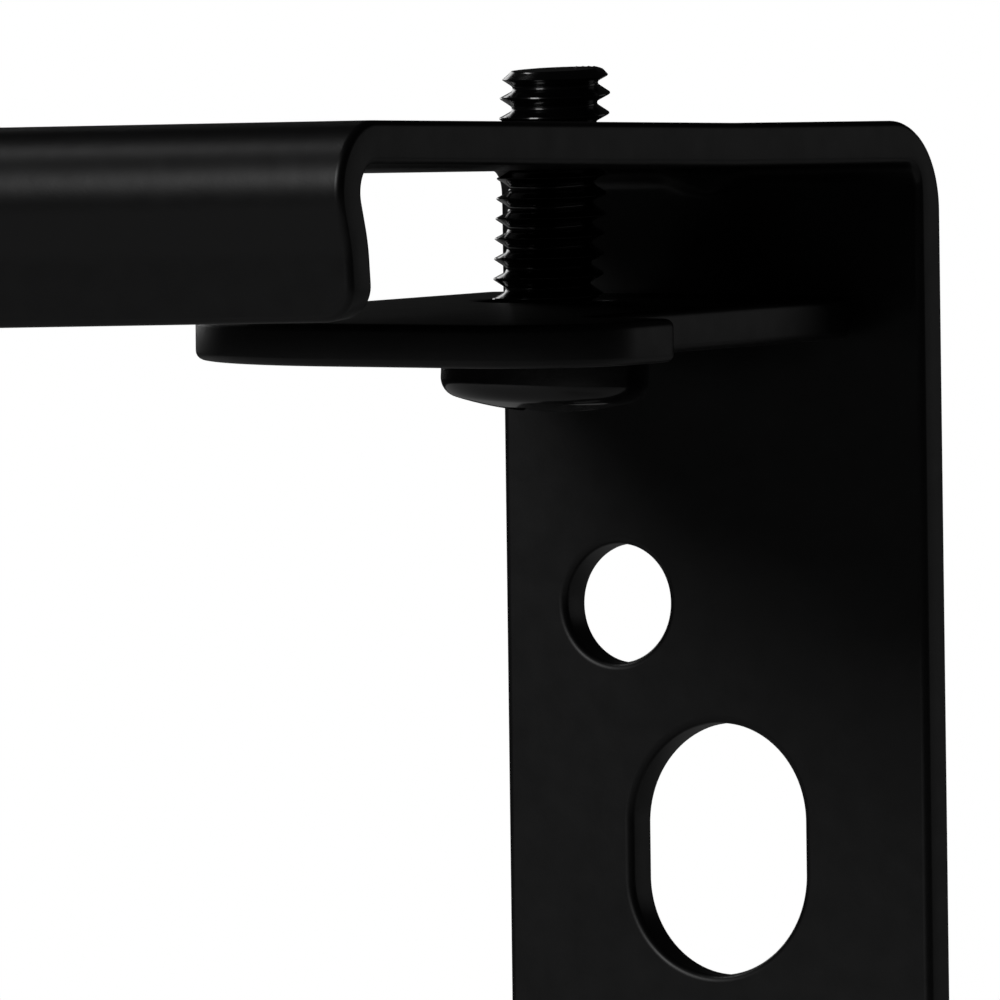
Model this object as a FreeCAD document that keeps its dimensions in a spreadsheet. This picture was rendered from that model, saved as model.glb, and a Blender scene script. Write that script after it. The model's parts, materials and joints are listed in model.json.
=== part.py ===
"""Speaker wall bracket: a folded steel strip with a clamp plate drawn up by one screw.

Axes: +X along the width of the strip, -Y away from the wall, +Z up. The origin is the
centre of the slot, on the face that lies against the wall. Lengths are in millimetres,
angles in degrees.
"""
import FreeCAD, Part
import math
import os
import re
import Sketcher

V = FreeCAD.Vector
ORIGIN = (-1, 1)

# The screw's axis crosses the middle of the arm's hole. Its foot, where it meets the
# underside of the clamp plate, is the origin of the plate and of the screw
LEVER = "(clamp_drop + clamp_gauge + sheet_gauge / 2)"
FOOT_LEFT = f"(screw_offset + {LEVER} * tan(screw_lean_side))"
FOOT_FRONT = f"(screw_from_wall - {LEVER} * tan(screw_lean_front))"
FOOT_UP = "(arm_above_slot - sheet_gauge - clamp_drop - clamp_gauge)"
CLAMP_BACK = f"{FOOT_FRONT} - sheet_gauge - clamp_wall_gap"

# Driving dimensions: each becomes one cell of the sheet, under the same name
SIZES = {
    # the folded strip
    "sheet_gauge": 1.5,
    "strip_width": 17.0,
    "arm_depth": 42.6,
    "arm_above_slot": 25.4,
    "plate_below_slot": 17.0,
    "wall_bend_radius": 1.6,
    "lip_bend_radius": 1.1,
    "lip_height": 7.0,
    "lip_overbend": 8.0,
    "lip_corner_radius": 1.0,
    "plate_corner_radius": 2.0,
    "strip_edge_round": 0.25,
    # the two openings in the wall plate
    "slot_width": 7.0,
    "slot_length": 9.0,
    "wall_hole_diameter": 4.2,
    "wall_hole_above_slot": 8.7,
    "wall_hole_offset": 3.9,
    # the clamp screw and its hole through the arm
    "screw_diameter": 3.95,
    "screw_length": 9.75,
    "screw_tip_chamfer": 0.35,
    "screw_from_wall": 8.7,
    "screw_offset": 2.1,
    "screw_lean_side": 4.2,
    "screw_lean_front": 1.6,
    "arm_hole_clearance": 0.3,
    "head_diameter": 7.4,
    "head_height": 2.4,
    "head_corner_radius": 0.9,
    "recess_span": 4.2,
    "recess_wing": 0.95,
    "recess_depth": 1.4,
    # the clamp plate, measured from its own screw hole
    "clamp_gauge": 1.5,
    "clamp_drop": 4.63,
    "clamp_left": 6.9,
    "clamp_right": 12.9,
    "clamp_front": 21.0,
    "clamp_wall_gap": 0.4,
    "clamp_tail_right": 8.0,
    "clamp_step": 12.4,
    "clamp_left_radius": 10.5,
    "clamp_right_radius": 4.5,
    "clamp_step_radius": 0.8,
    "clamp_back_radius": 0.8,
    "clamp_edge_round": 0.3,
    "clamp_hole_clearance": 0.8,
    "clamp_lean_side": 1.9,
    "clamp_lean_front": 2.2,
    "seat_clearance": 0.2,
}


def make_sizes(doc):
    """Spreadsheet with a name and a plain number on each row."""
    sheet = doc.addObject("Spreadsheet::Sheet", "Sizes")
    for row, (name, value) in enumerate(SIZES.items(), start=1):
        sheet.set(f"A{row}", name)
        sheet.set(f"B{row}", str(value))
        sheet.setAlias(f"B{row}", name)
    doc.recompute()
    return sheet


def spelled(formula):
    """Formula with every size's name pointed at its cell."""
    return re.sub(r"[a-z_]+", lambda m: f"Sizes.{m[0]}" if m[0] in SIZES else m[0], formula)


def value(formula):
    """Number that a formula in the cells comes to."""
    return float(sizes.evalExpression(spelled(formula)))


def bind(thing, prop, formula):
    """Tie a property to a formula in the cells."""
    thing.setExpression(prop, spelled(formula))


def new_body(label):
    """Empty solid body with its node name."""
    body = doc.addObject("PartDesign::Body", label)
    body.Label = label
    return body


def new_sketch(body, name, plane):
    """Sketch on one of the body's own origin planes."""
    sketch = body.newObject("Sketcher::SketchObject", name)
    support = next(f for f in body.Origin.OriginFeatures if f.Role == plane)
    sketch.AttachmentSupport = [(support, "")]
    sketch.MapMode = "FlatFace"
    return sketch


def dimension(sketch, kind, elements, name, formula):
    """Named driving constraint, tied to the cells."""
    sketch.addConstraint(Sketcher.Constraint(kind, *elements, value(formula)))
    sketch.renameConstraint(sketch.ConstraintCount - 1, name)
    bind(sketch, f"Constraints.{name}", formula)


def side_formula(formula):
    """A place on the minus side is dimensioned towards the origin, to stay positive."""
    return formula[1:].strip() if formula.startswith("-") else None


def place(sketch, kind, element, name, formula):
    """Distance of a point from the sketch origin along one axis."""
    flipped = side_formula(formula)
    if flipped:
        dimension(sketch, kind, (*element, *ORIGIN), name, flipped)
    else:
        dimension(sketch, kind, (*ORIGIN, *element), name, formula)


def rounded_outline(sketch, corners, radii):
    """Closed outline through corner points, with a tangent arc at each corner that has a radius.

    Returns the lines, where line i runs from corner i to corner i + 1, and the arcs.
    """
    count = len(corners)
    starts, ends, turns = list(corners), [corners[(i + 1) % count] for i in range(count)], {}
    for i, corner in enumerate(corners):
        if not radii[i]:
            continue
        before = (corners[i - 1] - corner).normalize()
        after = (corners[(i + 1) % count] - corner).normalize()
        half = before.getAngle(after) / 2
        ends[i - 1] = corner + before * (radii[i] / math.tan(half))
        starts[i] = corner + after * (radii[i] / math.tan(half))
        centre = corner + (before + after).normalize() * (radii[i] / math.sin(half))
        turns[i] = (centre, before.cross(after).z < 0)
    lines = [sketch.addGeometry(Part.LineSegment(a, b), False) for a, b in zip(starts, ends)]
    arcs = {}
    for i in range(count):
        last, first = lines[i - 1], lines[i]
        if i not in turns:
            sketch.addConstraint(Sketcher.Constraint("Coincident", last, 2, first, 1))
            continue
        centre, left_turn = turns[i]
        reach = [end - centre for end in (ends[i - 1], starts[i])]
        angles = [math.atan2(arm.y, arm.x) for arm in reach]
        start, end = (1, 2) if left_turn else (2, 1)
        circle = Part.Circle(centre, V(0, 0, 1), radii[i])
        arcs[i] = sketch.addGeometry(
            Part.ArcOfCircle(circle, angles[start - 1], angles[end - 1]), False)
        sketch.addConstraint(Sketcher.Constraint("Tangent", last, 2, arcs[i], start))
        sketch.addConstraint(Sketcher.Constraint("Tangent", arcs[i], end, first, 1))
    return lines, arcs


def level(sketch, lines, directions):
    """Hold each line level or upright, as its letter says."""
    kinds = {"H": "Horizontal", "V": "Vertical"}
    for line, letter in zip(lines, directions):
        if letter in kinds:
            sketch.addConstraint(Sketcher.Constraint(kinds[letter], line))


def sharp_edges(shape, least_angle=30.0):
    """Names of the edges where two faces meet at an angle."""
    names = []
    for index, edge in enumerate(shape.Edges, start=1):
        faces = shape.ancestorsOfType(edge, Part.Face)
        if len(faces) != 2:
            continue
        middle = edge.valueAt((edge.FirstParameter + edge.LastParameter) / 2)
        normals = [face.normalAt(*face.Surface.parameter(middle)) for face in faces]
        turn = math.degrees(normals[0].getAngle(normals[1]))
        if turn > least_angle:
            names.append(f"Edge{index}")
    return names


def round_edges(body, name, names, radius):
    """Fillet on named edges of the body's last feature."""
    base = body.Tip
    fillet = body.newObject("PartDesign::Fillet", name)
    fillet.Base = (base, names)
    bind(fillet, "Radius", radius)


def through_pocket(body, name, sketch):
    """Cut a sketch through everything on both sides of its plane."""
    before = body.Shape.Volume
    pocket = body.newObject("PartDesign::Pocket", name)
    pocket.Profile = sketch
    pocket.Type = "ThroughAll"
    pocket.SideType = "Symmetric"
    doc.recompute()
    if pocket.Shape.Volume >= before:
        raise RuntimeError(f"{name} cuts nothing")
    return pocket


def round_hole(body, name, plane, centre, diameter):
    """Round hole through the sheet, its centre placed from the sketch origin."""
    sketch = new_sketch(body, f"{name}Sketch", plane)
    middle = V(value(centre[0]), value(centre[1]), 0)
    ring = sketch.addGeometry(Part.Circle(middle, V(0, 0, 1), value(diameter) / 2), False)
    if centre == ("0", "0"):
        sketch.addConstraint(Sketcher.Constraint("Coincident", ring, 3, *ORIGIN))
    else:
        place(sketch, "DistanceX", (ring, 3), "Across", centre[0])
        place(sketch, "DistanceY", (ring, 3), "Along", centre[1])
    dimension(sketch, "Diameter", (ring,), "Bore", diameter)
    return through_pocket(body, name, sketch)


def strip_profile(body):
    """Side view of the folded strip: wall plate, arm and lip with their bends."""
    sketch = new_sketch(body, "FoldProfile", "YZ_Plane")
    gauge, top = value("sheet_gauge"), value("arm_above_slot")
    bottom, front = -value("plate_below_slot"), -value("arm_depth")
    drop = value("lip_height")
    inward = drop * math.tan(math.radians(value("lip_overbend")))
    wall_bend, lip_bend = value("wall_bend_radius"), value("lip_bend_radius")
    corners = [
        V(0, bottom, 0), V(0, top, 0), V(front, top, 0), V(front + inward, top - drop, 0),
        V(front + inward + gauge, top - drop, 0), V(front + gauge, top - gauge, 0),
        V(-gauge, top - gauge, 0), V(-gauge, bottom, 0),
    ]
    radii = [0, wall_bend + gauge, lip_bend + gauge, 0, 0, lip_bend, wall_bend, 0]
    lines, arcs = rounded_outline(sketch, corners, radii)
    back, arm_top, lip_front, lip_end, lip_back, arm_under, plate_front, plate_end = lines
    level(sketch, lines, "VH---HVH")
    sketch.addConstraint(Sketcher.Constraint("PointOnObject", back, 1, -2))
    sketch.addConstraint(Sketcher.Constraint("Parallel", lip_front, lip_back))
    sketch.addConstraint(Sketcher.Constraint("Perpendicular", lip_end, lip_back))
    sketch.addConstraint(Sketcher.Constraint("Coincident", arcs[2], 3, arcs[5], 3))
    place(sketch, "DistanceY", (back, 1), "PlateEnd", "-plate_below_slot")
    place(sketch, "DistanceY", (back, 2), "BendStart",
          "arm_above_slot - wall_bend_radius - sheet_gauge")
    dimension(sketch, "Radius", (arcs[1],), "WallBendOuter", "wall_bend_radius + sheet_gauge")
    dimension(sketch, "Radius", (arcs[6],), "WallBendInner", "wall_bend_radius")
    dimension(sketch, "Radius", (arcs[2],), "LipBendOuter", "lip_bend_radius + sheet_gauge")
    dimension(sketch, "Radius", (arcs[5],), "LipBendInner", "lip_bend_radius")
    place(sketch, "DistanceX", (plate_front, 2), "Gauge", "-sheet_gauge")
    place(sketch, "DistanceX", (arcs[2], 3), "LipBendPlace",
          "-(arm_depth - lip_bend_radius - sheet_gauge)")
    dimension(sketch, "DistanceY", (lip_front, 2, arm_top, 2), "LipHeight", "lip_height")
    dimension(sketch, "Angle", (lip_back,), "LipLean", "90 + lip_overbend")
    return sketch


def strip_corners(body):
    """Round the four corners of the strip's two ends, seen on the flat of the sheet."""
    ends = {"LipCorners": [], "PlateCorners": []}
    lip_side = -value("arm_depth") / 2
    for index, edge in enumerate(body.Shape.Edges, start=1):
        if abs(edge.Length - value("sheet_gauge")) > 1e-6 or len(edge.Vertexes) != 2:
            continue
        spread = edge.BoundBox
        if spread.XLength < 1e-6 and abs(abs(spread.XMin) - value("strip_width") / 2) < 1e-6:
            ends["LipCorners" if spread.YMin < lip_side else "PlateCorners"].append(f"Edge{index}")
    return ends


def make_bracket():
    """One strip of sheet steel: wall plate, arm and lip, folded twice."""
    body = new_body("bracket")
    pad = body.newObject("PartDesign::Pad", "Strip")
    pad.Profile = strip_profile(body)
    pad.SideType = "Symmetric"
    bind(pad, "Length", "strip_width")
    doc.recompute()

    corners = strip_corners(body)
    round_edges(body, "LipCorners", corners["LipCorners"], "lip_corner_radius")
    doc.recompute()
    corners = strip_corners(body)
    round_edges(body, "PlateCorners", corners["PlateCorners"], "plate_corner_radius")
    doc.recompute()

    slot = new_sketch(body, "SlotSketch", "XZ_Plane")
    half, run = value("slot_width") / 2, (value("slot_length") - value("slot_width")) / 2
    right = slot.addGeometry(Part.LineSegment(V(half, -run, 0), V(half, run, 0)), False)
    left = slot.addGeometry(Part.LineSegment(V(-half, run, 0), V(-half, -run, 0)), False)
    upper, lower = (slot.addGeometry(
        Part.ArcOfCircle(Part.Circle(V(0, y, 0), V(0, 0, 1), half), turn, turn + math.pi), False)
        for y, turn in ((run, 0), (-run, math.pi)))
    for first, second in ((right, upper), (upper, left), (left, lower), (lower, right)):
        slot.addConstraint(Sketcher.Constraint("Tangent", first, 2, second, 1))
    slot.addConstraint(Sketcher.Constraint("Vertical", right))
    slot.addConstraint(Sketcher.Constraint("Symmetric", upper, 3, lower, 3, *ORIGIN))
    dimension(slot, "Radius", (upper,), "HalfWidth", "slot_width / 2")
    dimension(slot, "DistanceY", (lower, 3, upper, 3), "Run", "slot_length - slot_width")
    through_pocket(body, "Slot", slot)

    round_hole(body, "WallHole", "XZ_Plane", ("-wall_hole_offset", "wall_hole_above_slot"),
               "wall_hole_diameter")
    round_hole(body, "ArmHole", "XY_Plane", ("-screw_offset", "-screw_from_wall"),
               "screw_diameter + arm_hole_clearance")
    round_edges(body, "EdgeRounds", sharp_edges(body.Shape), "strip_edge_round")
    return body


def make_clamp_plate():
    """Flat clamp plate: a wide nose with two rounded corners and a narrower tail.

    Its own origin is the middle of the screw hole, on the underside that the head lifts.
    """
    body = new_body("clamp_plate")
    sketch = new_sketch(body, "Plan", "XY_Plane")
    left, right, front = -value("clamp_left"), value("clamp_right"), -value("clamp_front")
    tail, back, step = value("clamp_tail_right"), value(CLAMP_BACK), -value("clamp_step")
    corners = [V(left, back, 0), V(left, front, 0), V(right, front, 0),
               V(right, step, 0), V(tail, step, 0), V(tail, back, 0)]
    names = ["clamp_back_radius", "clamp_left_radius", "clamp_right_radius",
             "clamp_step_radius", "clamp_step_radius", "clamp_back_radius"]
    lines, arcs = rounded_outline(sketch, corners, [value(name) for name in names])
    level(sketch, lines, "VHVHVH")
    for number, name in enumerate(names):
        dimension(sketch, "Radius", (arcs[number],), f"Corner{number}", name)
    places = ["-clamp_left", "-clamp_front", "clamp_right", "-clamp_step", "clamp_tail_right",
              CLAMP_BACK]
    for number, (line, formula) in enumerate(zip(lines, places)):
        kind = "DistanceX" if number % 2 == 0 else "DistanceY"
        place(sketch, kind, (line, 1), f"Side{number}", formula)
    pad = body.newObject("PartDesign::Pad", "Plate")
    pad.Profile = sketch
    bind(pad, "Length", "clamp_gauge")
    doc.recompute()
    round_hole(body, "ScrewHole", "XY_Plane", ("0", "0"), "screw_diameter + clamp_hole_clearance")
    round_edges(body, "EdgeRounds", sharp_edges(body.Shape), "clamp_edge_round")
    return body


def make_clamp_screw():
    """Pan head screw with a cross recess; its own origin is the bearing face of the head."""
    body = new_body("clamp_screw")
    sketch = new_sketch(body, "HalfProfile", "XZ_Plane")
    shank, rim = value("screw_diameter / 2"), value("head_diameter / 2")
    length, height = value("screw_length"), value("head_height")
    corners = [V(0, length, 0), V(0, -height, 0), V(rim, -height, 0), V(rim, 0, 0),
               V(shank, 0, 0), V(shank, length, 0)]
    radii = [0, 0, value("head_corner_radius"), 0, 0, 0]
    lines, arcs = rounded_outline(sketch, corners, radii)
    axis, crown, side, bearing, flank, tip = lines
    level(sketch, lines, "VHVHVH")
    sketch.addConstraint(Sketcher.Constraint("PointOnObject", axis, 1, -2))
    sketch.addConstraint(Sketcher.Constraint("PointOnObject", bearing, 1, -1))
    dimension(sketch, "Radius", (arcs[2],), "HeadCorner", "head_corner_radius")
    place(sketch, "DistanceY", (axis, 1), "Length", "screw_length")
    place(sketch, "DistanceY", (crown, 1), "HeadHeight", "-head_height")
    place(sketch, "DistanceX", (side, 2), "Rim", "head_diameter / 2")
    place(sketch, "DistanceX", (flank, 1), "Shank", "screw_diameter / 2")
    turned = body.newObject("PartDesign::Revolution", "Turned")
    turned.Profile = sketch
    turned.ReferenceAxis = (sketch, ["V_Axis"])
    turned.Angle = 360
    doc.recompute()

    tip_edge = next(f"Edge{i}" for i, e in enumerate(body.Shape.Edges, start=1)
                    if e.BoundBox.ZMin > length - 1e-6 and e.isClosed())
    chamfer = body.newObject("PartDesign::Chamfer", "TipChamfer")
    chamfer.Base = (turned, [tip_edge])
    bind(chamfer, "Size", "screw_tip_chamfer")
    doc.recompute()

    for name, width, depth in (("WingsAcross", "recess_span", "recess_wing"),
                               ("WingsAlong", "recess_wing", "recess_span")):
        wings = new_sketch(body, f"{name}Sketch", "XY_Plane")
        bind(wings, ".AttachmentOffset.Base.z", "-head_height")
        across, along = value(width) / 2, value(depth) / 2
        corners = [V(across, along, 0), V(-across, along, 0), V(-across, -along, 0),
                   V(across, -along, 0)]
        lines, _ = rounded_outline(wings, corners, [0] * 4)
        level(wings, lines, "HVHV")
        wings.addConstraint(Sketcher.Constraint("Symmetric", lines[0], 1, lines[2], 1, *ORIGIN))
        dimension(wings, "DistanceX", (lines[0], 2, lines[0], 1), "Across", width)
        dimension(wings, "DistanceY", (lines[3], 1, lines[3], 2), "Along", depth)
        before = body.Shape.Volume
        pocket = body.newObject("PartDesign::Pocket", name)
        pocket.Profile = wings
        pocket.Reversed = True
        bind(pocket, "Length", "recess_depth")
        doc.recompute()
        if pocket.Shape.Volume >= before:
            raise RuntimeError(f"{name} cuts nothing")
    return body


def lean(body, side, front, lowered="0"):
    """Stand a piece on the screw's foot point, leaning to +X and to -Y by two angles."""
    point = f"create(<<vector>>; -{FOOT_LEFT}; -{FOOT_FRONT}; {FOOT_UP} - {lowered})"
    turn = f"create(<<rotation>>; 0; {side}; {front})"
    bind(body, "Placement", f"create(<<placement>>; {point}; {turn})")


def check(pieces):
    """Stop before writing anything if a feature failed or a piece has no valid solid."""
    failed = [o.Name for o in doc.Objects if {"Invalid", "Error"} & set(o.State)]
    if failed:
        raise RuntimeError(f"failed features: {failed}")
    for piece in pieces:
        shape = piece.Shape
        if shape.isNull() or not shape.isValid() or len(shape.Solids) != 1:
            raise RuntimeError(f"{piece.Label} has no valid solid")


doc = FreeCAD.newDocument("speaker_wall_bracket")
sizes = make_sizes(doc)
bracket = make_bracket()
clamp_plate = make_clamp_plate()
clamp_screw = make_clamp_screw()
lean(clamp_plate, "clamp_lean_side", "clamp_lean_front")
lean(clamp_screw, "screw_lean_side", "screw_lean_front", "seat_clearance")
doc.recompute()

pieces = (bracket, clamp_plate, clamp_screw)
check(pieces)
os.makedirs("parts", exist_ok=True)
for piece in pieces:
    piece.Shape.exportStep(f"parts/{piece.Label}.step")
    print(piece.Label, "volume", round(piece.Shape.Volume, 2), "box", piece.Shape.BoundBox)
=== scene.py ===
# %% [markdown]
# A speaker wall bracket. One strip of 1.5 mm steel sheet is folded twice: the wall plate
# stands upright, the arm reaches out over the room and the lip turns down at its front. A
# clamp plate hangs under the arm on an M4 screw and grips the speaker's flange.
#
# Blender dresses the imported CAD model. The sheet pieces are folded anew here with the finer
# shape that the photograph shows: a bowed lip, a gusset in the wall bend and a leaning
# clamp plate. The screw gets its thread and the recess in its head.

import json
import math
import bmesh
import bpy
import numpy as np
from mathutils import Matrix, Vector
from mathutils.geometry import tessellate_polygon


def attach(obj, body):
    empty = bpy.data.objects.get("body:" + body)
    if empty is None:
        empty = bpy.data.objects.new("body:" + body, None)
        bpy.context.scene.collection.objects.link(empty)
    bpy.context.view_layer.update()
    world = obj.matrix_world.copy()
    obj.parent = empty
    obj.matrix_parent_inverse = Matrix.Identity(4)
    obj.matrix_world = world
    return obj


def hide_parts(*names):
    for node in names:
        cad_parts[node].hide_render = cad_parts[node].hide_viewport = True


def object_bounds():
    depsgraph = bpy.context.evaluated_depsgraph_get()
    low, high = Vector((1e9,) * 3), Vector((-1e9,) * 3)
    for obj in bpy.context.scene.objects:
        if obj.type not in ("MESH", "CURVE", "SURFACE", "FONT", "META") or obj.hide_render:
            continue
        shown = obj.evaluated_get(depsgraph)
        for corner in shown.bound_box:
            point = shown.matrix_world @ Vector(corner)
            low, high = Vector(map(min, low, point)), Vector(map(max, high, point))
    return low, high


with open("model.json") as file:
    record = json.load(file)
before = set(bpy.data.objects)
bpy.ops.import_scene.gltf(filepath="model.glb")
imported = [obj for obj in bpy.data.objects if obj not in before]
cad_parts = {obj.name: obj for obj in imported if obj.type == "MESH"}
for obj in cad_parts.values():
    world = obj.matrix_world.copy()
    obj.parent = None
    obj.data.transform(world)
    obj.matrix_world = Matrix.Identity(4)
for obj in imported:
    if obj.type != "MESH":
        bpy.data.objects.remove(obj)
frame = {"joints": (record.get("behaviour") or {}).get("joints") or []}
cad_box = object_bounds()
MM = 0.001
print("CAD box in mm:", [[round(c / MM, 2) for c in corner] for corner in cad_box])

# %% [markdown]
# A grid of points becomes a mesh by joining each point to its neighbours. All surfaces of
# the screw run right round its axis, so the last column joins the first again. In a thread
# it does so one pitch higher up, which is what makes the ridge one continuous helix.

# %% Turn rings of points into a closed mesh
SAME_POINT = 1e-7
SLIVER = 1e-8


def ring_faces(first, rows, columns, rise=0):
    """Quads of a grid wrapped round an axis.

    Point (row i, column j) has the number first + i * columns + j. Column j joins column
    j + 1, and the last column joins the first one, rise rows further up.
    """
    i, j = np.meshgrid(np.arange(rows - 1 - rise), np.arange(columns), indexing="ij")
    lift = np.where(j == columns - 1, rise, 0)
    ahead = (j + 1) % columns
    corners = [i * columns + j, (i + lift) * columns + ahead,
               (i + lift + 1) * columns + ahead, (i + 1) * columns + j]
    return first + np.stack(corners, axis=-1).reshape(-1, 4)


def add_piece(name, points, faces, body, sharp=35):
    """Closed mesh object in the frame, smooth apart from its sharp edges."""
    mesh = bpy.data.meshes.new(name)
    mesh.from_pydata(points.tolist(), [], [tuple(face) for face in faces])
    shell = bmesh.new()
    shell.from_mesh(mesh)
    bmesh.ops.remove_doubles(shell, verts=shell.verts, dist=SAME_POINT)
    bmesh.ops.dissolve_degenerate(shell, edges=shell.edges, dist=SLIVER)
    bmesh.ops.holes_fill(shell, edges=shell.edges, sides=0)
    bmesh.ops.recalc_face_normals(shell, faces=shell.faces)
    open_edges = sum(not edge.is_manifold for edge in shell.edges)
    shell.to_mesh(mesh)
    shell.free()
    mesh.polygons.foreach_set("use_smooth", np.ones(len(mesh.polygons), bool))
    mesh.set_sharp_from_angle(angle=math.radians(sharp))
    piece = bpy.data.objects.new(name, mesh)
    bpy.context.scene.collection.objects.link(piece)
    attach(piece, body)
    print(name, "has", len(mesh.polygons), "faces and", open_edges, "open edges")
    return piece


# %% [markdown]
# Both sheet pieces are made as a workshop makes them: the flat blank is cut out with its
# holes, its edges are rounded, and the strip is then folded. The blank is described in
# three numbers per point: x across the strip, s along it and a through the gauge. Only the
# last step turns s and a into a place in the room.

# %% Outlines of the blanks
GAUGE = 1.5 * MM
SUPPORT = 0.03 * MM
ARC_STEP = 0.12 * MM
LEAST_ARC_POINTS = 4
HOLE_POINTS = 96


def rounded_loop(corners, radii):
    """Closed outline with rounded corners, and the direction out of the sheet at each point.

    At a corner the arc's centre lies on the bisector, radius / sin(half the angle) from the
    corner. Its points are centre + radius (cos t, sin t). Between arcs the outline is straight.
    """
    corners, points, outward = np.array(corners), [], []
    for i, radius in enumerate(radii):
        before = corners[i - 1] - corners[i]
        after = corners[(i + 1) % len(corners)] - corners[i]
        before, after = before / np.linalg.norm(before), after / np.linalg.norm(after)
        half = math.acos(np.clip(before @ after, -1, 1)) / 2
        middle = (before + after) / np.linalg.norm(before + after)
        centre = corners[i] + middle * radius / math.sin(half)
        bulges = before[0] * after[1] - before[1] * after[0] < 0
        side = 1 if bulges else -1
        toward = math.atan2(-middle[1], -middle[0])
        sweep = (np.pi / 2 - half) * side
        count = max(LEAST_ARC_POINTS, math.ceil(2 * abs(sweep) * radius / ARC_STEP))
        t = toward + np.linspace(-sweep, sweep, count)
        arc = np.column_stack([np.cos(t), np.sin(t)])
        points.append(centre + radius * arc)
        outward.append(side * arc)
    return np.concatenate(points), np.concatenate(outward)


def hole_loop(centre, radius, run=0.0):
    """Outline of a round hole, or of a slot whose two ends lie run apart along the strip."""
    t = np.linspace(0, 2 * np.pi, HOLE_POINTS, endpoint=False) + np.pi / HOLE_POINTS
    arc = np.column_stack([np.cos(t), np.sin(t)])
    ends = np.column_stack([np.zeros_like(t), np.where(np.sin(t) > 0, run / 2, -run / 2)])
    return np.array(centre) + radius * arc + ends, -arc


def blank(loops, edge_round, steps=6):
    """Closed flat sheet from its outline and the outlines of its holes.

    Round each outline run rings: out of the lower face, round a quarter circle, up the wall
    and round another quarter into the upper face. A ring lies edge_round (1 - sin t) inside
    the outline at the depth edge_round (1 - cos t). Triangles fill both faces.
    """
    t = np.linspace(0, np.pi / 2, steps)
    inset, depth = edge_round * (1 - np.sin(t)), edge_round * (1 - np.cos(t))
    inset = np.concatenate([[edge_round + SUPPORT], inset, inset[::-1], [edge_round + SUPPORT]])
    depth = np.concatenate([[0], depth, GAUGE - depth[::-1], [GAUGE]])
    points, faces, lower, upper, first = [], [], [], [], 0
    for outline, outward in loops:
        rings = outline[None] - inset[:, None, None] * outward[None]
        heights = np.broadcast_to(depth[:, None, None], rings.shape[:2] + (1,))
        points.append(np.concatenate([rings, heights], axis=-1).reshape(-1, 3))
        faces += ring_faces(first, len(inset), len(outline)).tolist()
        numbers = np.arange(len(outline))
        lower.append(first + numbers)
        upper.append(first + (len(inset) - 1) * len(outline) + numbers)
        first += len(points[-1])
    points = np.concatenate(points)
    for rims in (lower, upper):
        order = np.concatenate(rims)
        polygons = [[Vector(points[i] / MM) for i in rim] for rim in rims]
        faces += order[np.array(tessellate_polygon(polygons))].tolist()
    return points, faces


# %% [markdown]
# The strip's side view is a chain of straight runs and bends. The press rounded the wall
# bend generously outside and left it tight inside. Near the wall the arm rises a little,
# the lip was bent past square, and it bows back so that its toe hangs nearly upright.

# %% The strip's side view
STRIP_WIDTH = 17 * MM
PLATE_END = -17 * MM
ARM_TOP = 25.2 * MM
ARM_DEPTH = 41.2 * MM
KICK, KICK_REACH, KICK_RADIUS = math.radians(0.6), 14 * MM, 60 * MM
WALL_BEND_OUTER, WALL_BEND_INNER = 3.1 * MM, 0.75 * MM
LIP_BEND_OUTER = 2.5 * MM
LIP_LEAN, TOE_LEAN = math.radians(17.5), math.radians(5.5)
BOW_DROP, BOW_RADIUS, LIP_HEIGHT = 4.48 * MM, 4 * MM, 6.92 * MM
BEND_STEPS = 22


def along(path, count):
    """Points spread evenly along a broken line."""
    length = np.concatenate([[0], np.cumsum(np.linalg.norm(np.diff(path, axis=0), axis=1))])
    wanted = np.linspace(0, length[-1], count)
    return np.column_stack([np.interp(wanted, length, path[:, k]) for k in (0, 1)])


def bend_arc(corner, before, after, radius):
    """Arc that touches two directions at a corner, radius tan(half the turn) from it."""
    turn = math.acos(np.clip(before @ after, -1, 1))
    reach = radius * math.tan(turn / 2)
    start, end = corner - before * reach, corner + after * reach
    centre = corner + (after - before) / np.linalg.norm(after - before) * (
        radius / math.cos(turn / 2))
    share = np.linspace(0, 1, BEND_STEPS + 1)[:, None]
    spokes = np.sin((1 - share) * turn) * (start - centre) + np.sin(share * turn) * (end - centre)
    return centre + spokes / math.sin(turn)


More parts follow.
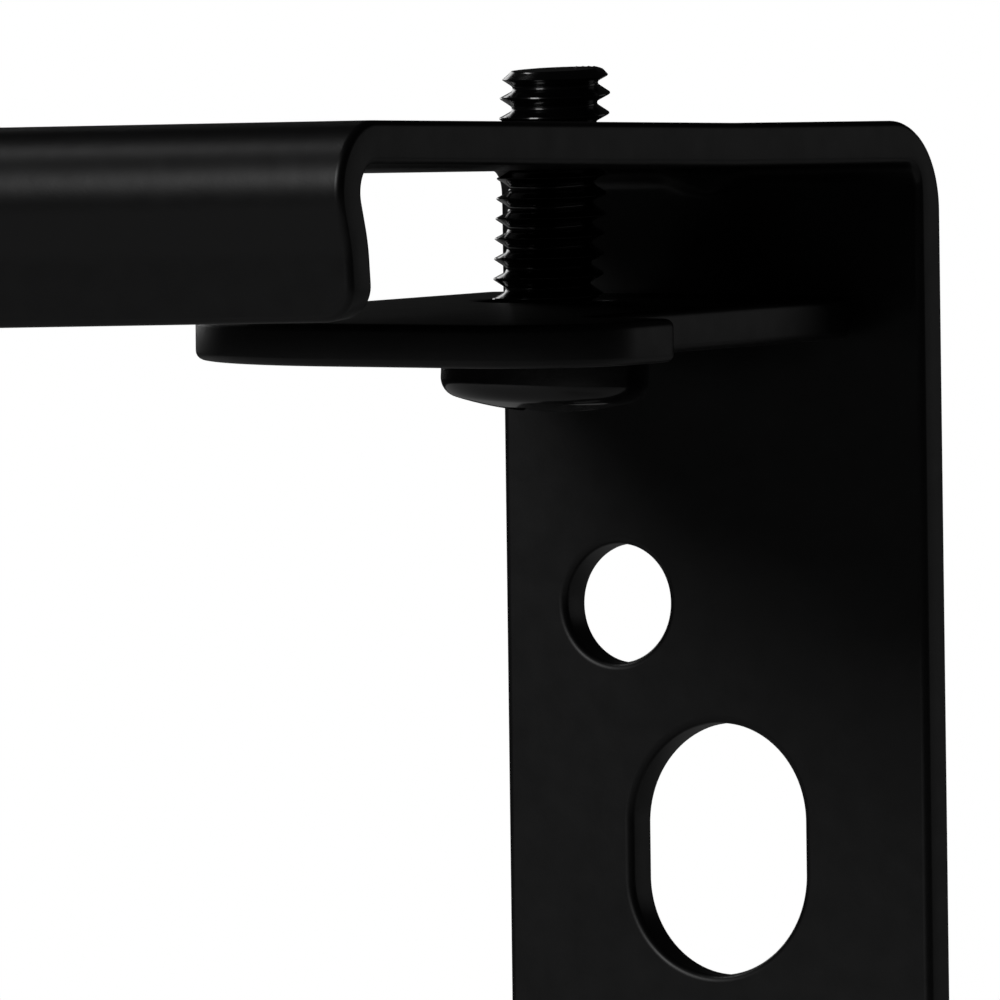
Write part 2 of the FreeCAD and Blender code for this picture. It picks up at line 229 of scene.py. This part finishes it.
def side_view():
    """Places along the strip, with the outer and the inner skin's (y, z) at each.

    The inner skin is the outer one moved in by the gauge. At a bend its corner moves in by
    gauge (n1 + n2) / (1 + n1 . n2), with n1 and n2 the directions into the sheet.
    """
    lip_corner = -(ARM_DEPTH + LIP_BEND_OUTER * (
        1 / math.cos(LIP_LEAN) + math.tan(LIP_LEAN) - 1))
    bow = lip_corner + BOW_DROP * math.tan(LIP_LEAN)
    toe = bow + (LIP_HEIGHT - BOW_DROP) * math.tan(TOE_LEAN)
    corners = np.array([
        [0, PLATE_END], [0, ARM_TOP + KICK_REACH * math.tan(KICK)], [-KICK_REACH, ARM_TOP],
        [lip_corner, ARM_TOP], [bow, ARM_TOP - BOW_DROP], [toe, ARM_TOP - LIP_HEIGHT]])
    bends = [(WALL_BEND_OUTER, WALL_BEND_INNER), (KICK_RADIUS, KICK_RADIUS + GAUGE),
             (LIP_BEND_OUTER, LIP_BEND_OUTER - GAUGE), (BOW_RADIUS, BOW_RADIUS + GAUGE)]
    runs = np.diff(corners, axis=0)
    runs /= np.linalg.norm(runs, axis=1)[:, None]
    into = np.column_stack([-runs[:, 1], runs[:, 0]])
    places, outer, inner = [0.0], [corners[0]], [corners[0] + GAUGE * into[0]]
    for i, (outer_radius, inner_radius) in enumerate(bends):
        before, after = runs[i], runs[i + 1]
        arc = bend_arc(corners[i + 1], before, after, outer_radius)
        inner_corner = corners[i + 1] + GAUGE * (into[i] + into[i + 1]) / (
            1 + into[i] @ into[i + 1])
        path = np.vstack([arc[0] + GAUGE * into[i],
                          bend_arc(inner_corner, before, after, inner_radius),
                          arc[-1] + GAUGE * into[i + 1]])
        inner_arc = along(path, BEND_STEPS + 1)
        straight = np.linalg.norm(arc[0] - outer[-1])
        bent = np.linalg.norm(np.diff((arc + inner_arc) / 2, axis=0), axis=1).sum()
        start = places[-1] + straight
        places += np.linspace(start, start + bent, BEND_STEPS + 1).tolist()
        outer += list(arc)
        inner += list(inner_arc)
    places.append(places[-1] + np.linalg.norm(corners[-1] - outer[-1]))
    outer.append(corners[-1])
    inner.append(corners[-1] + GAUGE * into[-1])
    return np.array(places), np.array(outer), np.array(inner)


places, outer_skin, inner_skin = side_view()
strip_length = places[-1]
print("blank of the strip is %.1f mm long" % (strip_length / MM))

# %% [markdown]
# Across the inside of the wall bend runs a gusset: a punch pressed a short rib into the
# corner, which stops the arm from sagging. It leaves a dent on the outside. Both skins move
# by the same amount, so that the sheet keeps its gauge. The rib is shorter than the one in
# the photograph, so that the clamp plate clears it at the top of its travel.

# %% Fold the blank and press the gusset
GUSSET_ON_PLATE = np.array([-1.5, 22.9]) * MM
GUSSET_ON_ARM = np.array([-2.7, 23.78]) * MM
GUSSET_HALF_WIDTH = 1.7 * MM
GUSSET_SOFT = 0.10 * MM
TOP_SOFT, FOOT_SOFT = 0.08, 0.06
NO_ROOM, NO_BUMP = -6 * GUSSET_SOFT, -0.3
GUSSET_MARGIN, GUSSET_ROW_STEP = 1 * MM, 0.12 * MM
GUSSET_SPREAD, GUSSET_COLUMNS = 1.5, 37


def gusset_depth(x, s):
    """How far the sheet is pressed in at a point, in a direction square to the ridge.

    Where the bump is 1 the inner skin reaches the straight ridge between the gusset's two
    ends. Across the strip the bump falls evenly to 0, with its top and its foot softened.
    """
    ridge = GUSSET_ON_ARM - GUSSET_ON_PLATE
    inward = np.array([-ridge[1], ridge[0]]) / np.linalg.norm(ridge)
    skin = np.column_stack([np.interp(s, places, inner_skin[:, k]) for k in (0, 1)])
    room = (GUSSET_ON_PLATE - skin) @ inward
    room = (room + np.sqrt(room ** 2 + GUSSET_SOFT ** 2)) / 2 * (room > NO_ROOM)
    fall = 1 + TOP_SOFT - np.sqrt((x / GUSSET_HALF_WIDTH) ** 2 + TOP_SOFT ** 2)
    bump = (fall + np.sqrt(fall ** 2 + FOOT_SOFT ** 2)) / 2 * (fall > NO_BUMP)
    return room[:, None] * bump[:, None] * inward


def fold(points):
    """Places in the room of a blank's points.

    At s the outer skin is at O and the inner one at I, so a point at the depth a lies at
    O + (I - O) a / gauge, and is then pressed in by the gusset.
    """
    x, s, a = points.T
    outer = np.column_stack([np.interp(s, places, outer_skin[:, k]) for k in (0, 1)])
    inner = np.column_stack([np.interp(s, places, inner_skin[:, k]) for k in (0, 1)])
    return np.column_stack([x, outer + (inner - outer) * (a / GAUGE)[:, None]
                            + gusset_depth(x, s)])


def cut_rows(shell, where, direction, only=None):
    """Add a row of points to a flat blank at each place, so that it can bend there."""
    for place in where:
        faces = [f for f in shell.faces if only is None or only(f.calc_center_median())]
        edges = {edge for face in faces for edge in face.edges}
        corners = {corner for face in faces for corner in face.verts}
        bmesh.ops.bisect_plane(shell, geom=faces + list(edges) + list(corners), dist=SLIVER,
                               plane_co=Vector(direction) * place, plane_no=direction)


# %% The bracket
PLATE_CORNER, LIP_CORNER, STRIP_EDGE = 2.0 * MM, 1.2 * MM, 0.25 * MM
SLOT_WIDTH, SLOT_LENGTH = 6.95 * MM, 8.8 * MM
WALL_HOLE, WALL_HOLE_AT = 2.08 * MM, (-3.95 * MM, 8.64 * MM - PLATE_END)
ARM_HOLE, ARM_HOLE_X, ARM_HOLE_Y = 2.07 * MM, -2.1 * MM, -8.7 * MM


def on_arm(y):
    """Place along the strip of a point of the arm between its two bends."""
    return places[BEND_STEPS + 1] + outer_skin[BEND_STEPS + 1, 0] - y


def add_bracket():
    """One strip of sheet: blank with its three holes, cut into rows, folded."""
    half = STRIP_WIDTH / 2
    outline = rounded_loop([(-half, 0), (half, 0), (half, strip_length), (-half, strip_length)],
                           [PLATE_CORNER, PLATE_CORNER, LIP_CORNER, LIP_CORNER])
    holes = [hole_loop((0, -PLATE_END), SLOT_WIDTH / 2, SLOT_LENGTH - SLOT_WIDTH),
             hole_loop(WALL_HOLE_AT, WALL_HOLE),
             hole_loop((ARM_HOLE_X, on_arm(ARM_HOLE_Y)), ARM_HOLE)]
    points, faces = blank([outline] + holes, STRIP_EDGE)
    shell = bmesh.new()
    flat = bpy.data.meshes.new("blank")
    flat.from_pydata(points.tolist(), [], faces)
    shell.from_mesh(flat)
    start = GUSSET_ON_PLATE[1] - GUSSET_MARGIN - PLATE_END
    end = on_arm(GUSSET_ON_ARM[0] - GUSSET_MARGIN)
    rows = np.concatenate([places[1:-1], places[1:-1:BEND_STEPS + 1] - SUPPORT,
                           places[BEND_STEPS + 1:-1:BEND_STEPS + 1] + SUPPORT,
                           np.arange(start, end, GUSSET_ROW_STEP)])
    cut_rows(shell, rows, (0, 1, 0))
    reach = GUSSET_SPREAD * GUSSET_HALF_WIDTH
    cut_rows(shell, np.linspace(-reach, reach, GUSSET_COLUMNS), (1, 0, 0),
             only=lambda middle: start < middle.y < end)
    shell.to_mesh(flat)
    shell.free()
    points = np.array([v.co for v in flat.vertices])
    faces = [tuple(face.vertices) for face in flat.polygons]
    bpy.data.meshes.remove(flat)
    piece = add_piece("bracket_strip", fold(points), faces, "bracket")
    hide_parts("bracket")
    return piece


strip = add_bracket()

# %% [markdown]
# The clamp plate is a flat blank with a wide nose and a narrower tail. It hangs loose on the
# screw, so it leans: its right side hangs a little lower, and so does its nose.

# %% The clamp plate
CLAMP_FOOT = np.array([-2.670, -8.512, 17.73]) * MM
CLAMP_LEAN_SIDE, CLAMP_LEAN_FRONT = math.radians(1.5), math.radians(2.2)
CLAMP_LEFT, CLAMP_RIGHT, CLAMP_TAIL = -5.95 * MM, 12.96 * MM, 8.85 * MM
CLAMP_FRONT, CLAMP_BACK, CLAMP_STEP = -20.25 * MM, 6.61 * MM, -12.7 * MM
CLAMP_RADII = [0.8 * MM, 9.0 * MM, 4.5 * MM, 0.8 * MM, 0.8 * MM, 0.8 * MM]
CLAMP_EDGE, CLAMP_HOLE = 0.3 * MM, 2.32 * MM


def add_clamp_plate():
    """Flat blank with its screw hole, turned by its two leans about the screw's foot."""
    outline = rounded_loop(
        [(CLAMP_LEFT, CLAMP_BACK), (CLAMP_LEFT, CLAMP_FRONT), (CLAMP_RIGHT, CLAMP_FRONT),
         (CLAMP_RIGHT, CLAMP_STEP), (CLAMP_TAIL, CLAMP_STEP), (CLAMP_TAIL, CLAMP_BACK)],
        CLAMP_RADII)
    points, faces = blank([outline, hole_loop((0, 0), CLAMP_HOLE)], CLAMP_EDGE)
    leans = Matrix.Rotation(CLAMP_LEAN_SIDE, 3, "Y") @ Matrix.Rotation(CLAMP_LEAN_FRONT, 3, "X")
    piece = add_piece("clamp_plate_blank", points @ np.array(leans).T + CLAMP_FOOT, faces,
                      "clamp_plate")
    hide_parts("clamp_plate")
    return piece


clamp = add_clamp_plate()

# %% [markdown]
# The screw's place is a fact of the CAD frame: its hinge joint states a point on the axis,
# where the head bears on the clamp plate, and the direction of the axis. Every point of the
# new screw is worked out upright, with that bearing face at height 0, and is then stood on
# the joint's axis, a hair below its point, so that it hardly wobbles when the joint turns.

# %% The screw's axis and sizes
SCREW_DROP = 0.04 * MM
screw_length, head_height = 9.72 * MM, 2.19 * MM
head_radius, crest_radius = 3.625 * MM, 1.92 * MM
hinge = next(joint for joint in frame["joints"] if joint["name"] == "screw_turn")
foot = np.array(hinge["pos_m"]) - np.array([0, 0, SCREW_DROP])
axis = np.array(hinge["axis"]) / np.linalg.norm(hinge["axis"])
sideways = np.cross([0.0, 1.0, 0.0], axis)
sideways /= np.linalg.norm(sideways)
upright = np.column_stack([sideways, np.cross(axis, sideways), axis])

print("screw in mm: length %.2f, head %.2f high and %.2f wide, thread %.2f wide" % (
    screw_length / MM, head_height / MM, 2 * head_radius / MM, 2 * crest_radius / MM))

# %% [markdown]
# An M4 thread climbs 0.7 mm a turn. Its section is a 60 degree V with a narrow flat crest
# and a rounded root. Rather than sweeping that section along a helix, which leaves a seam
# and open ends, the shank is a grid of heights and angles whose radius depends on how far
# each point is between two crests.

# %% The thread's shape
PITCH = 0.7 * MM
THREAD_DEPTH = 0.44 * MM
CREST_SHARE = 0.06
ROOT_SHARE = 0.20
ROOT_ROUNDING = 0.012
THREAD_PHASE = 0.205
TIP_CHAMFER = 0.35 * MM
END_SLANT = 0.08
END_BURR = 0.04 * MM
END_HIGH_SIDE = math.radians(30)
COLUMNS = 192
ROWS_PER_TURN = 18


def thread_radius(phase):
    """Radius at a place between two crests, where 0 and 1 are crests and 1/2 is the root.

    The distance from the root is |2 phase - 1|. It is cut off flat where the crest starts
    and bent round smoothly, as a square root of a square plus a little, at the root.
    """
    from_root = np.abs(2 * np.mod(phase, 1) - 1)
    slope = (from_root - ROOT_SHARE) / (1 - CREST_SHARE - ROOT_SHARE)
    rounded = (slope + np.sqrt(slope ** 2 + ROOT_ROUNDING)) / 2
    return crest_radius - THREAD_DEPTH * (1 - np.clip(rounded, 0, 1))


def thread_rings(length, tip_radius):
    """Points of a right-hand thread from height 0 up to its end.

    Point (s, a) has the height pitch * (s + a / 2 pi), held between the two ends, so each
    row climbs one pitch as it goes round. Its radius is the section's at the phase
    height / pitch - a / 2 pi, and no more than a cone at the tip. The end is cut off a
    little out of square: its plane crosses the axis END_BURR beyond the screw's length and
    rises by END_SLANT towards its high side.
    """
    rows = (math.ceil(length / PITCH) + 2) * ROWS_PER_TURN
    steps = np.arange(rows)[:, None] / ROWS_PER_TURN - 1
    angles = np.linspace(0, 2 * np.pi, COLUMNS, endpoint=False)[None, :]
    toward_high_side = np.cos(angles - END_HIGH_SIDE)
    end = length + END_BURR + END_SLANT * crest_radius * toward_high_side
    height = np.clip(PITCH * (steps + angles / (2 * np.pi)), 0, end)
    radius = thread_radius(height / PITCH - angles / (2 * np.pi) + THREAD_PHASE)
    radius = np.minimum(radius, tip_radius + (end - height))
    inward = END_SLANT * (crest_radius - radius) * toward_high_side
    height = np.where(height >= end, end - inward, height)
    return np.stack([radius * np.cos(angles), radius * np.sin(angles), height], axis=-1)


shank = thread_rings(screw_length, crest_radius - TIP_CHAMFER)
print("thread:", shank.shape[0], "rows of", shank.shape[1], "points")

# %% [markdown]
# The head is a pan: a straight rim, a rounded shoulder and a slightly domed face with a
# cross recess. A turned outline gives the pan, and the recess is pressed into the same grid by
# moving its points along the axis, so the head needs no cutting and stays one closed skin.

# %% The head and its cross recess
CROWN_RADIUS = 11.3 * MM
SHOULDER = 0.5 * MM
RIM_BEVEL = 0.06 * MM
FACE_MIDDLE = 0.004 * MM
FACE_ROWS, SHOULDER_ROWS, UNDER_ROWS = 64, 15, 6
RECESS_SPAN = 4.2 * MM
RECESS_WING = 0.95 * MM
RECESS_DEPTH = 1.4 * MM
RECESS_WALL = 0.16 * MM
RECESS_TAPER = 0.35


def recess_depth(x, y):
    """How deep the cross is pressed in at a point of the head's face.

    A point lies inside a wing by the smaller of its distances to the wing's side and end.
    The cross takes the larger of both wings, and the wall falls smoothly over its width.
    """
    half_span, half_wing = RECESS_SPAN / 2, RECESS_WING / 2
    across = np.minimum(half_span - np.abs(x), half_wing - np.abs(y))
    lengthwise = np.minimum(half_wing - np.abs(x), half_span - np.abs(y))
    share = np.clip(np.maximum(across, lengthwise) / RECESS_WALL, 0, 1)
    middle = 1 - RECESS_TAPER * np.hypot(x, y) / half_span
    return RECESS_DEPTH * middle * share ** 2 * (3 - 2 * share)


def head_rings():
    """Points of the head, from the middle of its face round the rim to the shank.

    The face is part of a sphere: at radius r it lies r^2 / 2R back from its middle. The
    shoulder carries on from its slope to the straight rim, round a quarter of a small circle.
    """
    low = head_radius - SHOULDER
    face = np.linspace(FACE_MIDDLE, low, FACE_ROWS)
    slope = math.asin(low / CROWN_RADIUS)
    turn = np.linspace(slope, np.pi / 2, SHOULDER_ROWS)[1:]
    shoulder_scale = SHOULDER / (1 - math.sin(slope))
    under = np.linspace(head_radius - RIM_BEVEL, crest_radius, UNDER_ROWS)
    radius = np.concatenate([
        face, low + shoulder_scale * (np.sin(turn) - math.sin(slope)), [head_radius], under])
    height = np.concatenate([
        face ** 2 / (2 * CROWN_RADIUS) - head_height,
        low ** 2 / (2 * CROWN_RADIUS) - head_height
        + shoulder_scale * (math.cos(slope) - np.cos(turn)),
        [-RIM_BEVEL], np.zeros_like(under)])
    angles = np.linspace(0, 2 * np.pi, COLUMNS, endpoint=False)[None, :]
    x = radius[:, None] * np.cos(angles)
    y = radius[:, None] * np.sin(angles)
    z = height[:, None] + np.zeros_like(angles)
    z[:FACE_ROWS] += recess_depth(x[:FACE_ROWS], y[:FACE_ROWS])
    return np.stack([x, y, z], axis=-1)


head = head_rings()
rings = np.concatenate([head, shank]).reshape(-1, 3)
head_rows, shank_rows = len(head), len(shank)
faces = np.concatenate([
    ring_faces(0, head_rows + 1, COLUMNS),
    ring_faces(head_rows * COLUMNS, shank_rows, COLUMNS, rise=ROWS_PER_TURN)])
screw = add_piece("clamp_screw_threaded", rings @ upright.T + foot, faces,
                  "clamp_screw")
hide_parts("clamp_screw")

# %% [markdown]
# Colours are written as the sRGB hex values that a colour picker shows. Blender's shaders
# want linear light, so one function turns them. Another adds a node with its settings and
# links, so that a material reads as a list of its layers.

# %% Colour and node helpers
def linear(hex_colour):
    """Linear RGBA of an sRGB hex colour."""
    channels = [int(hex_colour[i:i + 2], 16) / 255 for i in (1, 3, 5)]
    return tuple(c / 12.92 if c <= 0.04045 else ((c + 0.055) / 1.055) ** 2.4
                 for c in channels) + (1.0,)


def add_node(tree, kind, settings=None, **inputs):
    """New node with its settings, and with a value or a link on each named input."""
    node = tree.nodes.new(kind)
    for name, setting in (settings or {}).items():
        setattr(node, name, setting)
    for name, given in inputs.items():
        socket = node.inputs[name.replace("_", " ")]
        if isinstance(given, bpy.types.NodeSocket):
            tree.links.new(given, socket)
        else:
            socket.default_value = given
    return node


def new_material(name):
    """Empty material and its output node."""
    material = bpy.data.materials.new(name)
    material.use_nodes = True
    material.node_tree.nodes.clear()
    return material, add_node(material.node_tree, "ShaderNodeOutputMaterial")


# %% [markdown]
# The sheet is powder coated: dry paint powder is baked on, melts and levels out, but never
# quite. That leaves a faint orange peel about a millimetre across in a satin black skin,
# with a finer grain of the powder in it. The skin is a plastic, so its reflection has the
# IOR of about 1.5, and its colour hardly shows beside that reflection.

# %% Satin black powder coat
PEEL_WIDTH, PEEL_DEPTH = 0.9 * MM, 0.02 * MM
GRAIN_WIDTH, GRAIN_DEPTH = 0.12 * MM, 0.006 * MM


def powder_coat():
    """Polyester powder coat: satin black, levelled, with orange peel and a fine grain."""
    material, output = new_material("satin_black_powder_coat")
    tree = material.node_tree
    place = add_node(tree, "ShaderNodeTexCoord").outputs["Object"]
    peel = add_node(tree, "ShaderNodeTexNoise", Vector=place, Scale=1 / PEEL_WIDTH,
                    Detail=1.0, Roughness=0.4).outputs["Fac"]
    grain = add_node(tree, "ShaderNodeTexNoise", Vector=place, Scale=1 / GRAIN_WIDTH,
                     Detail=2.0, Roughness=0.5).outputs["Fac"]
    gloss = add_node(tree, "ShaderNodeMapRange", Value=peel, To_Min=0.34,
                     To_Max=0.42).outputs["Result"]
    peel_bump = add_node(tree, "ShaderNodeBump", Height=peel, Strength=0.35,
                         Distance=PEEL_DEPTH).outputs["Normal"]
    grain_bump = add_node(tree, "ShaderNodeBump", Height=grain, Strength=0.25,
                          Distance=GRAIN_DEPTH, Normal=peel_bump).outputs["Normal"]
    skin = add_node(tree, "ShaderNodeBsdfPrincipled", Base_Color=linear("#0d0d0e"),
                    Roughness=gloss, IOR=1.5, Normal=grain_bump)
    tree.links.new(skin.outputs["BSDF"], output.inputs["Surface"])
    return material


coat = powder_coat()
for piece in (strip, clamp):
    piece.data.materials.append(coat)
    print("powder coat on", piece.name)

# %% [markdown]
# The screw is machine-made steel with a glossy black finish. It reflects sharply, so each
# crest of the thread carries a thin bright line, and the roots between them stay dark.

# %% Glossy black screw finish
MARK_WIDTH, MARK_DEPTH = 0.25 * MM, 0.008 * MM


def black_plating():
    """Black zinc plating under a clear sealer: glossy, with faint rolling marks."""
    material, output = new_material("glossy_black_plating")
    tree = material.node_tree
    place = add_node(tree, "ShaderNodeTexCoord").outputs["Object"]
    marks = add_node(tree, "ShaderNodeTexNoise", Vector=place, Scale=1 / MARK_WIDTH,
                     Detail=3.0, Roughness=0.6).outputs["Fac"]
    gloss = add_node(tree, "ShaderNodeMapRange", Value=marks, To_Min=0.12,
                     To_Max=0.26).outputs["Result"]
    bump = add_node(tree, "ShaderNodeBump", Height=marks, Strength=0.3,
                    Distance=MARK_DEPTH).outputs["Normal"]
    skin = add_node(tree, "ShaderNodeBsdfPrincipled", Base_Color=linear("#0a0a0b"),
                    Roughness=gloss, IOR=1.5, Coat_Weight=0.6, Coat_Roughness=0.08,
                    Normal=bump)
    tree.links.new(skin.outputs["BSDF"], output.inputs["Surface"])
    return material


screw.data.materials.append(black_plating())

# %% [markdown]
# The stage is a pale floor under the wall plate's lower end, a white surround and four soft
# lights: a strong one before the object, two weaker ones at the left and a faint one behind.
# The photograph shows a black object on pure white. Its light comes mostly from the left
# and leaves the upper right of the wall plate dark.

# %% Floor and surround
FLOOR_DROP = 0.02 * MM
FLOOR_RADIUS = 0.2
FLOOR_POINTS = 96


def add_floor():
    """Pale round floor, level with the lower end of the wall plate."""
    angles = np.linspace(0, 2 * np.pi, FLOOR_POINTS, endpoint=False)
    z = cad_box[0].z - FLOOR_DROP
    rim = np.stack([FLOOR_RADIUS * np.cos(angles), FLOOR_RADIUS * np.sin(angles),
                    np.full_like(angles, z)], axis=-1)
    mesh = bpy.data.meshes.new("floor")
    mesh.from_pydata(rim.tolist(), [], [tuple(range(len(rim)))])
    floor = bpy.data.objects.new("floor", mesh)
    bpy.context.scene.collection.objects.link(floor)
    material, output = new_material("pale_floor")
    paint = add_node(material.node_tree, "ShaderNodeBsdfPrincipled",
                     Base_Color=linear("#e8e8e8"), Roughness=0.9)
    material.node_tree.links.new(paint.outputs["BSDF"], output.inputs["Surface"])
    mesh.materials.append(material)


def add_surround(seen, cast):
    """World that the camera sees as white and that lights the object more weakly."""
    world = bpy.data.worlds.new("surround")
    bpy.context.scene.world = world
    world.use_nodes = True
    tree = world.node_tree
    tree.nodes.clear()
    path = add_node(tree, "ShaderNodeLightPath").outputs["Is Camera Ray"]
    glow = add_node(tree, "ShaderNodeMapRange", Value=path, To_Min=cast, To_Max=seen)
    light = add_node(tree, "ShaderNodeBackground", Color=linear("#ffffff"),
                     Strength=glow.outputs["Result"])
    output = add_node(tree, "ShaderNodeOutputWorld")
    tree.links.new(light.outputs["Background"], output.inputs["Surface"])


add_floor()
add_surround(seen=1.0, cast=0.007)

# %% Lights
LIGHT_AIM = Vector((0, -0.02, 0.005))
LIGHT_DISTANCE = 0.5


def add_light(name, azimuth, elevation, size, power):
    """Square soft light that shines on the middle of the bracket from a direction.

    Azimuth 0 is in front of the wall plate and 90 is on its right.
    """
    a, e = math.radians(azimuth), math.radians(elevation)
    back = Vector((math.sin(a) * math.cos(e), -math.cos(a) * math.cos(e), math.sin(e)))
    data = bpy.data.lights.new(name, "AREA")
    data.size = size
    data.energy = power
    lamp = bpy.data.objects.new(name, data)
    lamp.location = LIGHT_AIM + back * LIGHT_DISTANCE
    lamp.rotation_euler = (-back).to_track_quat("-Z", "Y").to_euler()
    bpy.context.scene.collection.objects.link(lamp)


add_light("key", azimuth=-15, elevation=25, size=0.16, power=0.52)
add_light("side", azimuth=-80, elevation=50, size=0.10, power=0.13)
add_light("left back", azimuth=-130, elevation=15, size=0.20, power=0.15)
add_light("rim", azimuth=150, elevation=5, size=0.20, power=0.02)

# %% [markdown]
# The photograph is taken from the bracket's right front, almost level, through a long lens,
# so upright and level edges stay parallel. A perspective camera far away with a very long
# lens gives that, and the other views can still frame the whole part with it.

# %% Camera
LENS = 1622.0
SENSOR = 36.0
VIEW_WIDTH = 34.848 * MM
AZIMUTH, ELEVATION, ROLL = 30.38, -0.195, 0.0128
LOOK_AT = Vector((-3.988, -9.431, 12.280)) * MM


def add_camera():
    """Camera at the photograph's angle, at the distance where the view has its width."""
    a, e = math.radians(AZIMUTH), math.radians(ELEVATION)
    right = Vector((math.cos(a), math.sin(a), 0))
    ahead = Vector((-math.sin(a) * math.cos(e), math.cos(a) * math.cos(e), -math.sin(e)))
    up = right.cross(ahead)
    tilted_right, tilted_up = right - ROLL * up, up + ROLL * right
    data = bpy.data.cameras.new("camera")
    data.lens, data.sensor_width = LENS, SENSOR
    data.clip_start, data.clip_end = 0.01, 20.0
    camera = bpy.data.objects.new("camera", data)
    columns = [tilted_right.normalized(), tilted_up.normalized(), -ahead]
    camera.rotation_euler = Matrix(columns).transposed().to_euler()
    camera.location = LOOK_AT - ahead * (VIEW_WIDTH * LENS / SENSOR)
    bpy.context.scene.collection.objects.link(camera)
    bpy.context.scene.camera = camera
    bpy.context.scene.view_settings.view_transform = "Standard"


add_camera()
